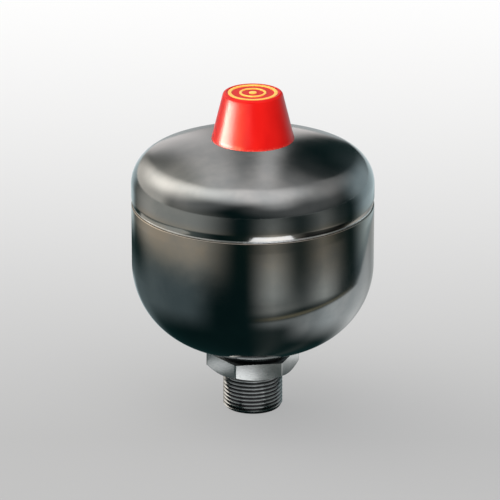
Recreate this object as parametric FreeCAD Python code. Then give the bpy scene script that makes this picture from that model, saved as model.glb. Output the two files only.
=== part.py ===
"""Diaphragm accumulator: a welded steel vessel with a hexagon port below and a capped gas valve above.

The origin is the centre of the flat end of the port stud, with +Z up the vessel's axis. All sizes are in
millimetres. Nearly every piece is turned, drawn or moulded round that axis, so it is a half section in
the XZ plane, revolved. One flat of the hexagon faces -Y.
"""

import FreeCAD
import Part

import math
import os

# Vessel: a gas-side shell and a fluid-side shell, each a drawn cup with a dished end
body_diameter = 121.0
shell_wall = 5.5
lower_wall_height = 32.0
lower_knuckle_radius = 42.6
lower_crown_radius = 79.3
upper_wall_height = 9.6
upper_knuckle_radius = 16.2
upper_crown_radius = 135.0

# Girth weld, and the shaped rims that it joins
weld_height = 1.2
weld_inset = 0.85
weld_crown = 0.3
upper_lip_height = 2.7
upper_lip_lean = 0.4
upper_lip_bulge = 0.03
lower_rim_round = 0.45

# Fluid port: one turned hexagon fitting with a male stud below and a neck that passes the shell
stud_diameter = 30.0
stud_length = 20.5
stud_chamfer = 1.2
hex_across_flats = 41.0
hex_height = 8.8
hex_face_inset = 0.5
hex_chamfer_angle = 30.0
hex_to_shell = 0.5
oil_bore_diameter = 12.0
oil_bore_chamfer = 1.0
port_neck_wall = 10.0
port_weld_width = 2.6
port_weld_spread = 0.5
port_weld_bulge = 0.45

# Gas valve: a threaded boss through the shell's pole and the screw that closes it
boss_diameter = 27.0
boss_height = 16.35
boss_chamfer = 1.0
boss_neck_diameter = 22.0
boss_neck_stand = 0.5
boss_weld_leg = 2.4
boss_weld_bulge = 0.2
gas_passage_diameter = 5.0
gas_passage_length = 1.6
screw_thread_diameter = 12.0
screw_head_diameter = 18.0
screw_head_height = 6.2
screw_head_recess = 0.5
screw_end_clearance = 1.5
screw_end_chamfer = 1.0
screw_head_round = 0.8
screw_socket_across_flats = 6.0
screw_socket_depth = 4.0
screw_vent_diameter = 3.0
screw_vent_depth = 5.5
screw_cross_vent_diameter = 1.5
seal_washer_thickness = 1.5

# Protective cap: one moulding, a closed cone with a sleeve inside it that grips the boss
cap_base_flare = 7.05
cap_top_flare = 1.1
cap_headroom = 4.3
cap_wall = 2.0
cap_top_round = 1.7
cap_dish_rim = 0.4
cap_dish_depth = 0.45
cap_mark_ring_diameters = (24.6, 13.4)
cap_mark_ring_widths = (1.7, 1.2)
cap_mark_dot_diameter = 3.8
cap_mark_round = 0.2
cap_sleeve_wall = 1.3
cap_pocket_land = 0.8
cap_rib_count = 6
cap_rib_thickness = 1.2
cap_rib_height = 5.0

# Clamp ring inside the girth, which holds the diaphragm's bead and backs the weld
ring_below_knuckle = 1.5
ring_shoulder_drop = 5.0
ring_shoulder_thickness = 3.0
ring_band_thickness = 3.5
ring_skirt_thickness = 2.0
ring_lip_height = 2.8
ring_lip_round = 1.6
ring_edge_chamfer = 0.5

# Diaphragm: a rubber cup that lies against the fluid-side shell when the accumulator holds no oil
diaphragm_thickness = 2.4
bead_width = 4.8
bead_height = 8.0
bead_round = 1.2
pad_cover = 2.4
pad_top_round = 1.5
pad_slope_width = 6.5

# Closing button, moulded into the middle of the diaphragm
button_overlap = 6.5
button_thickness = 2.0
button_edge_round = 0.7
button_stem_diameter = 8.0
button_stem_height = 2.6
button_head_overhang = 2.0
button_head_thickness = 1.6

# Clearances between pieces that fit together
fit_gap = 0.05
thread_gap = 0.1
rubber_gap = 0.15
moulded_gap = 0.2
cap_gap = 0.1
seat_gap = 0.1
sleeve_to_weld = 2.0


class Section:
    """A closed half section in the XZ plane, drawn edge by edge through (radius, height) points."""

    def __init__(self, radius, height):
        self.start = (radius, height)
        self.here = self.start
        self.edges = []

    def line(self, radius, height):
        if math.dist(self.here, (radius, height)) > 1e-7:
            self.edges.append(Part.makeLine(spot(*self.here), spot(radius, height)))
        self.here = (radius, height)
        return self

    def arc(self, centre, radius, height):
        """The shorter arc about a centre, from here to the given point."""
        first = math.atan2(self.here[1] - centre[1], self.here[0] - centre[0])
        last = math.atan2(height - centre[1], radius - centre[0])
        turn = (last - first + math.pi) % (2 * math.pi) - math.pi
        reach = math.dist(centre, self.here)
        middle = first + turn / 2
        through = spot(centre[0] + reach * math.cos(middle), centre[1] + reach * math.sin(middle))
        self.edges.append(Part.Arc(spot(*self.here), through, spot(radius, height)).toShape())
        self.here = (radius, height)
        return self

    def bulge(self, radius, height, rise):
        """A shallow arc from here to the given point, standing off its chord to the right."""
        across = radius - self.here[0]
        up = height - self.here[1]
        chord = math.hypot(across, up)
        middle = spot(
            self.here[0] + across / 2 + up / chord * rise,
            self.here[1] + up / 2 - across / chord * rise,
        )
        self.edges.append(Part.Arc(spot(*self.here), middle, spot(radius, height)).toShape())
        self.here = (radius, height)
        return self

    def turned(self):
        """The solid of revolution about the vessel's axis."""
        self.line(*self.start)
        face = Part.Face(Part.Wire(self.edges))
        solid = face.revolve(FreeCAD.Vector(0, 0, 0), FreeCAD.Vector(0, 0, 1), 360)
        if solid.Volume < 0:
            solid.reverse()
        return solid


class DishedEnd:
    """The outline of one shell: a straight wall, a knuckle arc and a crown arc, tangent to each other.

    side is +1 for the shell that closes upwards and -1 for the one that closes downwards. A depth moves the
    same outline inwards, so it also draws the inside of the wall and whatever lies against it.
    """

    def __init__(self, wall_height, knuckle, crown, side, seam=0.0):
        self.side = side
        self.knuckle = knuckle
        self.crown = crown
        self.knuckle_centre = (body_diameter / 2 - knuckle, seam + side * wall_height)
        drop = math.sqrt((crown - knuckle) ** 2 - self.knuckle_centre[0] ** 2)
        self.crown_centre = (0.0, self.knuckle_centre[1] - side * drop)
        self.join_angle = math.atan2(drop, self.knuckle_centre[0])

    def height(self, radius, depth=0.0):
        """Height of the crown at a radius."""
        return self.crown_centre[1] + self.side * math.sqrt((self.crown - depth) ** 2 - radius**2)

    def radius(self, height, depth=0.0):
        """Radius at which the crown reaches a height."""
        return math.sqrt((self.crown - depth) ** 2 - (height - self.crown_centre[1]) ** 2)

    def wall_end(self, depth=0.0):
        """Where the straight wall meets the knuckle."""
        return body_diameter / 2 - depth, self.knuckle_centre[1]

    def join(self, depth=0.0):
        """Where the knuckle meets the crown."""
        reach = self.knuckle - depth
        return (
            self.knuckle_centre[0] + reach * math.cos(self.join_angle),
            self.knuckle_centre[1] + self.side * reach * math.sin(self.join_angle),
        )

    def inwards(self, section, radius, depth=0.0):
        """Draws the outline from the straight wall to the crown at a radius."""
        section.line(*self.wall_end(depth))
        section.arc(self.knuckle_centre, *self.join(depth))
        return section.arc(self.crown_centre, radius, self.height(radius, depth))

    def outwards(self, section, depth=0.0):
        """Draws the outline from the crown, where the section has come to, out to the straight wall."""
        section.arc(self.crown_centre, *self.join(depth))
        return section.arc(self.knuckle_centre, *self.wall_end(depth))


def spot(radius, height):
    return FreeCAD.Vector(radius, 0, height)


def upright_cylinder(diameter, low, high):
    return Part.makeCylinder(diameter / 2, high - low, FreeCAD.Vector(0, 0, low))


def hexagon_bar(across_flats, low, high):
    """A hexagon bar about the axis, with one flat facing -Y."""
    corner_radius = across_flats / math.sqrt(3)
    corners = []
    for side in range(7):
        angle = math.radians(60 * side)
        across = corner_radius * math.cos(angle)
        along = corner_radius * math.sin(angle)
        corners.append(FreeCAD.Vector(across, along, low))
    return Part.Face(Part.makePolygon(corners)).extrude(FreeCAD.Vector(0, 0, high - low))


# Levels up the axis. The seam's level is the depth of the fluid-side shell above its pole.
outer_radius = body_diameter / 2
inner_radius = outer_radius - shell_wall
hex_top = stud_length + hex_height
bottom_pole = hex_top + hex_to_shell
seam = bottom_pole - DishedEnd(lower_wall_height, lower_knuckle_radius, lower_crown_radius, -1).height(0)
lower_end = DishedEnd(lower_wall_height, lower_knuckle_radius, lower_crown_radius, -1, seam)
upper_end = DishedEnd(upper_wall_height, upper_knuckle_radius, upper_crown_radius, +1, seam)
weld_bottom = seam - weld_height / 2
weld_top = seam + weld_height / 2

# Port and button, stacked on the oil bore's seat
oil_bore_radius = oil_bore_diameter / 2
port_neck_radius = oil_bore_radius + port_neck_wall
port_seat = lower_end.height(port_neck_radius, shell_wall)
button_radius = oil_bore_radius + button_overlap
button_bottom = port_seat + seat_gap
button_top = button_bottom + button_thickness
button_stem_radius = button_stem_diameter / 2
button_head_radius = button_stem_radius + button_head_overhang
button_head_bottom = button_top + button_stem_height
button_head_top = button_head_bottom + button_head_thickness

# Gas valve and cap, stacked on the upper pole
boss_radius = boss_diameter / 2
boss_neck_radius = boss_neck_diameter / 2
boss_bottom = upper_end.height(boss_neck_radius, shell_wall) - boss_neck_stand
boss_top = upper_end.height(0) + boss_height
screw_head_top = boss_top - screw_head_recess
screw_head_bottom = screw_head_top - screw_head_height
screw_seat = screw_head_bottom - seal_washer_thickness
gas_passage_top = boss_bottom + gas_passage_length
cap_bore_radius = boss_radius + fit_gap
cap_base_radius = cap_bore_radius + cap_base_flare
cap_base = upper_end.height(cap_base_radius, -cap_gap)
cap_inside_top = boss_top + cap_headroom
cap_top = cap_inside_top + cap_wall

# Clamp ring and bead, stacked down the inside of the girth
ring_top = seam + upper_wall_height - ring_below_knuckle
ring_outer = inner_radius - fit_gap
ring_shoulder = seam - ring_shoulder_drop
bead_outer = inner_radius - rubber_gap
bead_inner = bead_outer - bead_width
bead_top = ring_shoulder - rubber_gap
bead_bottom = bead_top - bead_height
skirt_outer = bead_inner - rubber_gap
skirt_inner = skirt_outer - ring_skirt_thickness
lip_top = bead_bottom - rubber_gap
lip_outer = bead_outer - diaphragm_thickness - rubber_gap


def lower_shell():
    """Fluid-side shell: a drawn cup with a hole for the port at its pole and a rounded rim at the seam."""
    hole = port_neck_radius + fit_gap
    round_centre = (outer_radius - lower_rim_round, weld_bottom - lower_rim_round)
    section = Section(outer_radius, round_centre[1])
    lower_end.inwards(section, hole)
    section.line(hole, lower_end.height(hole, shell_wall))
    lower_end.outwards(section, shell_wall)
    section.line(inner_radius, weld_bottom)
    section.line(round_centre[0], weld_bottom)
    section.arc(round_centre, outer_radius, round_centre[1])
    return section.turned()


def upper_shell():
    """Gas-side shell: a shallower cup whose lip leans in towards the weld, with a hole for the gas boss."""
    hole = boss_neck_radius + fit_gap
    section = Section(outer_radius, weld_top + upper_lip_height)
    upper_end.inwards(section, hole)
    section.line(hole, upper_end.height(hole, shell_wall))
    upper_end.outwards(section, shell_wall)
    section.line(inner_radius, weld_top)
    section.line(outer_radius - upper_lip_lean, weld_top)
    section.bulge(outer_radius, weld_top + upper_lip_height, upper_lip_bulge)
    return section.turned()


def girth_weld():
    """Full-depth weld between the two rims, with a low crown that stays inside the shells' outline."""
    face = outer_radius - weld_inset
    section = Section(inner_radius, weld_bottom)
    section.line(face, weld_bottom)
    section.bulge(face, weld_top, weld_crown)
    section.line(inner_radius, weld_top)
    return section.turned()


def fluid_port():
    """Hexagon fitting: a stud below and a neck above that ends in the button's seat.

    Only the hexagon's lower side, which is tightened against the port, has its corners turned off.
    """
    stud = stud_diameter / 2
    section = Section(oil_bore_radius + oil_bore_chamfer, 0)
    section.line(stud - stud_chamfer, 0)
    section.line(stud, stud_chamfer)
    section.line(stud, hex_top)
    section.line(port_neck_radius, hex_top)
    section.line(port_neck_radius, port_seat)
    section.line(oil_bore_radius, port_seat)
    section.line(oil_bore_radius, oil_bore_chamfer)

    wall_middle = (oil_bore_radius + stud) / 2
    chamfer_start = hex_across_flats / 2 - hex_face_inset
    chamfer_end = hex_across_flats / math.sqrt(3)
    drop = (chamfer_end - chamfer_start) * math.tan(math.radians(hex_chamfer_angle))
    blank = Section(wall_middle, stud_length)
    blank.line(chamfer_start, stud_length)
    blank.line(chamfer_end, stud_length + drop)
    blank.line(chamfer_end, hex_top)
    blank.line(wall_middle, hex_top)
    hexagon = hexagon_bar(hex_across_flats, stud_length, hex_top).common(blank.turned())
    return section.turned().fuse(hexagon).removeSplitter()


def port_weld():
    """Fillet weld round the port's neck, between the top of the hexagon and the shell."""
    inner = port_neck_radius + fit_gap
    toe = inner + port_weld_width
    section = Section(inner, hex_top)
    section.line(toe, hex_top)
    section.bulge(toe + port_weld_spread, lower_end.height(toe + port_weld_spread), port_weld_bulge)
    section.arc(lower_end.crown_centre, inner, lower_end.height(inner))
    return section.turned()


def gas_boss():
    """Threaded boss: a collar on the shell, a neck through it and a pocket for the charging screw."""
    pocket = screw_head_diameter / 2 + moulded_gap
    thread = screw_thread_diameter / 2
    passage = gas_passage_diameter / 2
    section = Section(boss_radius, boss_top - boss_chamfer)
    section.line(boss_radius, upper_end.height(boss_radius, -fit_gap))
    section.arc(upper_end.crown_centre, boss_neck_radius, upper_end.height(boss_neck_radius, -fit_gap))
    section.line(boss_neck_radius, boss_bottom)
    section.line(passage, boss_bottom)
    section.line(passage, gas_passage_top)
    section.line(thread, gas_passage_top)
    section.line(thread, screw_seat)
    section.line(pocket, screw_seat)
    section.line(pocket, boss_top)
    section.line(boss_radius - boss_chamfer, boss_top)
    return section.turned()


def gas_boss_weld():
    """Fillet weld round the foot of the gas boss."""
    inner = boss_radius + fit_gap
    toe = inner + boss_weld_leg
    foot = upper_end.height(inner)
    section = Section(inner, foot)
    section.arc(upper_end.crown_centre, toe, upper_end.height(toe))
    section.bulge(inner, foot + boss_weld_leg, boss_weld_bulge)
    return section.turned()


def charging_screw():
    """Socket-head screw that closes the gas side, bored up its end to vent as it is backed out."""
    shank = screw_thread_diameter / 2 - thread_gap
    shank_end = gas_passage_top + screw_end_clearance
    head = screw_head_diameter / 2
    section = Section(0, shank_end)
    section.line(shank - screw_end_chamfer, shank_end)
    section.line(shank, shank_end + screw_end_chamfer)
    section.line(shank, screw_head_bottom)
    section.line(head, screw_head_bottom)
    section.line(head, screw_head_top - screw_head_round)
    round_centre = (head - screw_head_round, screw_head_top - screw_head_round)
    section.arc(round_centre, round_centre[0], screw_head_top)
    section.line(0, screw_head_top)
    socket = hexagon_bar(screw_socket_across_flats, screw_head_top - screw_socket_depth, boss_top)
    vent_end = shank_end + screw_vent_depth
    vent = upright_cylinder(screw_vent_diameter, gas_passage_top, vent_end)
    cross_vent = Part.makeCylinder(
        screw_cross_vent_diameter / 2,
        screw_thread_diameter,
        FreeCAD.Vector(-screw_thread_diameter / 2, 0, vent_end - screw_cross_vent_diameter),
        FreeCAD.Vector(1, 0, 0),
    )
    return section.turned().cut(socket).cut(vent).cut(cross_vent)


def charging_screw_seal():
    """Flat sealing washer between the boss and the charging screw's head."""
    disc = upright_cylinder(screw_head_diameter, screw_seat, screw_head_bottom)
    return disc.cut(upright_cylinder(screw_thread_diameter + 2 * thread_gap, screw_seat, screw_head_bottom))


def cap_mark(inner, outer, floor):
    """One raised ring on the cap's dished top, or a dot if it has no inner radius."""
    low = floor - cap_dish_depth
    shoulder = cap_top - cap_mark_round
    section = Section(inner, low)
    section.line(outer, low)
    section.line(outer, shoulder)
    section.arc((outer - cap_mark_round, shoulder), outer - cap_mark_round, cap_top)
    if inner > 0:
        section.line(inner + cap_mark_round, cap_top)
        section.arc((inner + cap_mark_round, shoulder), inner, shoulder)
    else:
        section.line(0, cap_top)
    return section.turned()


def protective_cap():
    """Tapered cap: a closed cone, a sleeve inside it that grips the boss, and ribs between the two.

    Its top is dished and carries raised rings, which end level with the rim.
    """
    top_radius = cap_bore_radius + cap_top_flare
    lean = (cap_base_radius - top_radius) / (cap_top - cap_base)
    taper = math.atan(lean)
    wall_across = cap_wall / math.cos(taper)
    sleeve_radius = cap_bore_radius + cap_sleeve_wall
    sleeve_bottom = upper_end.height(boss_radius) + boss_weld_leg + sleeve_to_weld
    pocket_flare = cap_base_radius - wall_across - sleeve_radius - cap_pocket_land
    pocket_top = cap_base + pocket_flare / lean
    rim = cap_base_radius - wall_across

    round_centre = (
        cap_base_radius - (cap_top - cap_top_round - cap_base) * lean - cap_top_round / math.cos(taper),
        cap_top - cap_top_round,
    )
    dish_radius = round_centre[0] - cap_dish_rim
    dish_floor = cap_top - cap_dish_depth
    section = Section(0, dish_floor)
    section.line(0, cap_inside_top)
    section.line(cap_bore_radius, cap_inside_top)
    section.line(cap_bore_radius, sleeve_bottom)
    section.line(sleeve_radius, sleeve_bottom)
    section.line(sleeve_radius, pocket_top)
    section.line(sleeve_radius + cap_pocket_land, pocket_top)
    section.line(rim, upper_end.height(rim, -cap_gap))
    section.arc(upper_end.crown_centre, cap_base_radius, cap_base)
    section.line(
        round_centre[0] + cap_top_round * math.cos(taper),
        round_centre[1] + cap_top_round * math.sin(taper),
    )
    section.arc(round_centre, round_centre[0], cap_top)
    section.line(dish_radius, cap_top)
    section.line(dish_radius, dish_floor)
    cap = section.turned()
    for diameter, width in zip(cap_mark_ring_diameters, cap_mark_ring_widths):
        cap = cap.fuse(cap_mark(diameter / 2 - width, diameter / 2, dish_floor))
    cap = cap.fuse(cap_mark(0, cap_mark_dot_diameter / 2, dish_floor))

    # Each rib runs from the middle of the sleeve to the middle of the wall, and up past the pocket
    rib_top = pocket_top + cap_pocket_land
    rib_bottom = pocket_top - cap_rib_height
    rib_inner = sleeve_radius - cap_sleeve_wall / 2
    wall_middle = cap_base_radius - wall_across / 2
    reach = Section(rib_inner, rib_top)
    reach.line(rib_inner, rib_bottom)
    reach.line(wall_middle - (rib_bottom - cap_base) * lean, rib_bottom)
    reach.line(wall_middle - (rib_top - cap_base) * lean, rib_top)
    ring = reach.turned()
    for rib in range(cap_rib_count):
        corner = FreeCAD.Vector(0, -cap_rib_thickness / 2, rib_bottom)
        web = Part.makeBox(cap_base_radius, cap_rib_thickness, rib_top - rib_bottom, corner)
        web.rotate(FreeCAD.Vector(0, 0, 0), FreeCAD.Vector(0, 0, 1), 360 * rib / cap_rib_count)
        cap = cap.fuse(web.common(ring))
    return cap.removeSplitter()


def clamp_ring():
    """Ring inside the girth: a band that backs the weld, and a hooked skirt that traps the bead."""
    band_inner = ring_outer - ring_band_thickness
    shoulder_top = ring_shoulder + ring_shoulder_thickness
    lip_bottom = lip_top - ring_lip_height
    round_centre = (lip_outer - ring_lip_round, lip_bottom + ring_lip_round)
    section = Section(ring_outer - ring_edge_chamfer, ring_top)
    section.line(ring_outer, ring_top - ring_edge_chamfer)
    section.line(ring_outer, ring_shoulder)
    section.line(skirt_outer, ring_shoulder)
    section.line(skirt_outer, lip_top)
    section.line(lip_outer, lip_top)
    section.line(lip_outer, round_centre[1])
    section.arc(round_centre, round_centre[0], lip_bottom)
    section.line(skirt_inner, lip_bottom)
    section.line(skirt_inner, shoulder_top)
    section.line(band_inner, shoulder_top + band_inner - skirt_inner)
    section.line(band_inner, ring_top)
    return section.turned()


def diaphragm():
    """Rubber diaphragm: a thick bead at the rim, a membrane along the shell, and a pad round the button."""
    outer_depth = shell_wall + rubber_gap
    inner_depth = outer_depth + diaphragm_thickness
    seat_radius = lower_end.radius(button_bottom, outer_depth)
    recess = button_radius + moulded_gap
    stem = button_stem_radius + moulded_gap
    head = button_head_radius + moulded_gap
    pad_radius = head + pad_cover
    pad_top = button_head_top + moulded_gap + pad_cover
    pad_foot = pad_radius + pad_slope_width
    top_round_centre = (pad_radius - pad_top_round, pad_top - pad_top_round)
    bead_round_centre = (bead_outer - bead_round, bead_top - bead_round)

    section = Section(bead_outer, bead_round_centre[1])
    lower_end.inwards(section, seat_radius, outer_depth)
    section.line(recess, button_bottom)
    section.line(recess, button_top + moulded_gap)
    section.line(stem, button_top + moulded_gap)
    section.line(stem, button_head_bottom - moulded_gap)
    section.line(head, button_head_bottom - moulded_gap)
    section.line(head, button_head_top + moulded_gap)
    section.line(0, button_head_top + moulded_gap)
    section.line(0, pad_top)
    section.line(top_round_centre[0], pad_top)
    section.arc(top_round_centre, pad_radius, top_round_centre[1])
    section.line(pad_foot, lower_end.height(pad_foot, inner_depth))
    lower_end.outwards(section, inner_depth)
    section.line(bead_outer - diaphragm_thickness, bead_bottom)
    section.line(bead_inner, bead_bottom)
    section.line(bead_inner, bead_top)
    section.line(bead_round_centre[0], bead_top)
    section.arc(bead_round_centre, bead_outer, bead_round_centre[1])
    return section.turned()


def closing_button():
    """Steel button: a disc that covers the oil bore, with a headed stem set in the rubber."""
    round_centre = (button_radius - button_edge_round, button_top - button_edge_round)
    section = Section(0, button_bottom)
    section.line(button_radius, button_bottom)
    section.line(button_radius, round_centre[1])
    section.arc(round_centre, round_centre[0], button_top)
    section.line(button_stem_radius, button_top)
    section.line(button_stem_radius, button_head_bottom)
    section.line(button_head_radius, button_head_bottom)
    section.line(button_head_radius, button_head_top)
    section.line(0, button_head_top)
    return section.turned()


PIECES = {
    "lower_shell": lower_shell,
    "upper_shell": upper_shell,
    "girth_weld": girth_weld,
    "fluid_port": fluid_port,
    "port_weld": port_weld,
    "gas_boss": gas_boss,
    "gas_boss_weld": gas_boss_weld,
    "charging_screw": charging_screw,
    "charging_screw_seal": charging_screw_seal,
    "protective_cap": protective_cap,
    "clamp_ring": clamp_ring,
    "diaphragm": diaphragm,
    "closing_button": closing_button,
}

os.makedirs("parts", exist_ok=True)
for name, make in PIECES.items():
    make().exportStep(f"parts/{name}.step")
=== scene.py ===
"""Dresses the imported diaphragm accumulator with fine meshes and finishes, and sets it in a small studio.

Every piece is made in metres in the CAD's own frame: +Z is the vessel's axis, and z = 0 is the flat end of
its stud.
"""

import math

import bmesh
import bpy
from mathutils import Matrix, Vector


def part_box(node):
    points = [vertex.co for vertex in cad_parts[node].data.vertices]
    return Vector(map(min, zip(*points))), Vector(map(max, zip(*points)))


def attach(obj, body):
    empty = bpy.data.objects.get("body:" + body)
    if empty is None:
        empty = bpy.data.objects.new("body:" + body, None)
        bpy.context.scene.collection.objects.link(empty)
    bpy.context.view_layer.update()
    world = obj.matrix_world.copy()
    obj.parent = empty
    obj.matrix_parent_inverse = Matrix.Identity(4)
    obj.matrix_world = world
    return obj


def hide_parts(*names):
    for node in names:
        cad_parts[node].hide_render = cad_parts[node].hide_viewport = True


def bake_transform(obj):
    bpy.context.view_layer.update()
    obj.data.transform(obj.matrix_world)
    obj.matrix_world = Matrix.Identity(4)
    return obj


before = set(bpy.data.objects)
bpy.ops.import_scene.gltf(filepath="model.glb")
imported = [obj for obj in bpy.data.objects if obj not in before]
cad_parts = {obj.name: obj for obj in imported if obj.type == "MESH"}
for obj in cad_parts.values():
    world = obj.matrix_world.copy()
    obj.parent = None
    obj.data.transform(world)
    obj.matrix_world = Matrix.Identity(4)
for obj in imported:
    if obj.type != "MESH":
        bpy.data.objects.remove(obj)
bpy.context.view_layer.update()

MM = 0.001
VESSEL = "vessel"

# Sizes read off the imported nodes
outer_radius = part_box("lower_shell")[1].x
weld_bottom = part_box("girth_weld")[0].z
weld_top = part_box("girth_weld")[1].z
hex_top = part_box("port_weld")[0].z
port_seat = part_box("fluid_port")[1].z
cap_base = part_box("protective_cap")[0].z
cap_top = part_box("protective_cap")[1].z
cap_base_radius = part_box("protective_cap")[1].x
bead_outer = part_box("diaphragm")[1].x
bead_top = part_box("diaphragm")[1].z
pad_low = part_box("diaphragm")[0].z
button_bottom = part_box("closing_button")[0].z
button_head_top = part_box("closing_button")[1].z
boss_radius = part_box("gas_boss")[1].x
boss_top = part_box("gas_boss")[1].z
seam = (weld_bottom + weld_top) / 2

# Vessel
shell_wall = 5.5 * MM
lower_wall_height = 32.0 * MM
lower_knuckle_radius = 42.6 * MM
lower_crown_radius = 79.3 * MM
upper_wall_height = 9.6 * MM
upper_knuckle_radius = 16.2 * MM
upper_crown_radius = 135.0 * MM
weld_inset = 0.85 * MM
weld_crown = 0.3 * MM
upper_lip_height = 2.7 * MM
upper_lip_lean = 0.4 * MM
upper_lip_bulge = 0.03 * MM
lower_rim_round = 0.45 * MM
port_hole_radius = 16.05 * MM
boss_hole_radius = 11.05 * MM
inner_radius = outer_radius - shell_wall

# Welds
weld_shoulder = 0.5 * MM
ripple_run_in = 0.4 * MM
ripple_toe = 0.1 * MM
girth_ripple_count = 288
girth_ripple_depth = 0.06 * MM
girth_ripple_lean = 0.8
port_ripple_count = 96
port_ripple_depth = 0.12 * MM
port_ripple_lean = 1.2
port_weld_width = 2.6 * MM
port_weld_spread = 0.5 * MM
port_weld_bulge = 0.45 * MM

# Fluid port
stud_radius = 15.0 * MM
stud_length = 20.5 * MM
stud_chamfer = 1.2 * MM
thread_pitch = 2.0 * MM
thread_depth = 1.227 * MM
thread_crest = thread_pitch / 8
thread_root = thread_pitch / 6
thread_root_relief = 0.03 * MM
thread_top_gap = 0.4 * MM
stud_end_land = 0.8 * MM
hex_side_step = 0.5 * MM
hex_face_radius = 20.0 * MM
hex_flat_radius = 20.5 * MM
hex_chamfer_angle = math.radians(30)
hex_edge_soften = 0.35 * MM
oil_bore_radius = 6.0 * MM
oil_bore_chamfer = 1.0 * MM
port_neck_radius = 16.0 * MM

# Protective cap
cap_gap = 0.1 * MM
cap_wall = 2.0 * MM
cap_bore_radius = 13.55 * MM
cap_sleeve_wall = 1.3 * MM
cap_pocket_land = 0.8 * MM
cap_top_round = 1.7 * MM
cap_base_round = 0.2 * MM
cap_foot_rise = cap_base_round * 1.2
cap_foot_bulge = cap_base_round * 0.22
cap_top_radius = 14.65 * MM
cap_headroom = 4.3 * MM
sleeve_clear = 4.4 * MM
cap_rib_count = 6
cap_rib_thickness = 1.2 * MM
cap_rib_height = 5.0 * MM
cap_dish_rim = 0.4 * MM
cap_dish_depth = 0.45 * MM
cap_dish_edge = 0.15 * MM
cap_dish_edge_bulge = 0.04 * MM
cap_dish_fillet = 0.1 * MM
cap_mark_radii = (12.3 * MM, 6.7 * MM)
cap_mark_widths = (1.7 * MM, 1.2 * MM)
cap_mark_dot_radius = 1.9 * MM
cap_mark_round = 0.2 * MM
cap_mark_sunk = 0.1 * MM

# Diaphragm
diaphragm_thickness = 2.4 * MM
diaphragm_wall_end = 1 * MM
rubber_gap = 0.15 * MM
bead_width = 4.8 * MM
bead_height = 8.0 * MM
bead_round = 1.2 * MM
moulded_gap = 0.2 * MM
pad_cover = 2.4 * MM
pad_top_round = 1.5 * MM
pad_slope_width = 6.5 * MM
button_radius = 12.5 * MM
button_thickness = 2.0 * MM
button_stem_radius = 4.0 * MM
button_stem_height = 2.6 * MM
button_head_radius = 6.0 * MM

# The side that the photograph was taken from, as an angle from -Y
camera_azimuth = math.radians(-8.3)

# How finely the turned pieces are divided
BODY_STEPS = 288
SMALL_STEPS = 192
RUBBER_STEPS = 128
GIRTH_WELD_STEPS = 1152
PORT_WELD_STEPS = 768
DISC_STEPS = 96

# How close two points are when they count as one, and how far an arc stops short of its outline's start
MERGE_DISTANCE = 0.0005 * MM
THREAD_MERGE_DISTANCE = 0.001 * MM
CUT_DISTANCE = 1e-8
SAME_PLACE = 1e-6
ARC_GAP = 1e-7


def toward(azimuth, elevation=0.0):
    """Unit vector at an azimuth to the right of the camera's side, in degrees, and an elevation."""
    turn = camera_azimuth + math.radians(azimuth)
    tilt = math.radians(elevation)
    return Vector((
        math.sin(turn) * math.cos(tilt),
        -math.cos(turn) * math.cos(tilt),
        math.sin(tilt),
    ))


class Outline:
    """A half section in the XZ plane, drawn with bmesh operators and then spun round the vessel's axis."""

    def __init__(self, radius, height, mesh=None):
        self.mesh = mesh or bmesh.new()
        self.first = self.mesh.verts.new((radius, 0, height))
        self.tip = self.first
        self.drawn = [self.first]

    def line(self, radius, height, steps=1):
        """A straight run in equal steps."""
        start = self.tip.co.copy()
        end = Vector((radius, 0, height))
        for step in range(steps):
            self.tip = bmesh.ops.extrude_vert_indiv(self.mesh, verts=[self.tip])["verts"][0]
            self.tip.co = start.lerp(end, (step + 1) / steps)
            self.drawn.append(self.tip)
        return self

    def arc(self, centre, radius, height, steps):
        """The shorter arc about a centre, from here to the given point."""
        first = math.atan2(self.tip.co.z - centre[1], self.tip.co.x - centre[0])
        last = math.atan2(height - centre[1], radius - centre[0])
        turn = (last - first + math.pi) % (2 * math.pi) - math.pi
        for _ in range(steps):
            swept = bmesh.ops.spin(
                self.mesh, geom=[self.tip], cent=(centre[0], 0, centre[1]), axis=(0, -1, 0),
                angle=turn / steps, steps=1, use_duplicate=False,
            )
            self.tip = swept["geom_last"][0]
            self.drawn.append(self.tip)
        return self

    def bulge(self, radius, height, rise, steps):
        """A shallow arc that stands off its chord to the right of the way it goes."""
        across = radius - self.tip.co.x
        up = height - self.tip.co.z
        chord = math.hypot(across, up)
        reach = (chord**2 / 4 + rise**2) / (2 * rise)
        centre = (
            self.tip.co.x + across / 2 - up / chord * (reach - rise),
            self.tip.co.z + up / 2 + across / chord * (reach - rise),
        )
        return self.arc(centre, radius, height, steps)

    def parts(self):
        """The outline's points and then its edges, in the same order each run."""
        return self.drawn + list(dict.fromkeys(edge for vert in self.drawn for edge in vert.link_edges))

    def turned(self, steps=BODY_STEPS, closed=True):
        """Spins the outline into a solid of revolution."""
        if closed:
            self.mesh.edges.new((self.tip, self.first))
        bmesh.ops.spin(
            self.mesh, geom=self.parts(), cent=(0, 0, 0), axis=(0, 0, 1),
            angle=2 * math.pi, steps=steps, use_merge=True, use_duplicate=False,
        )
        return sealed(self.mesh)


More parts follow.
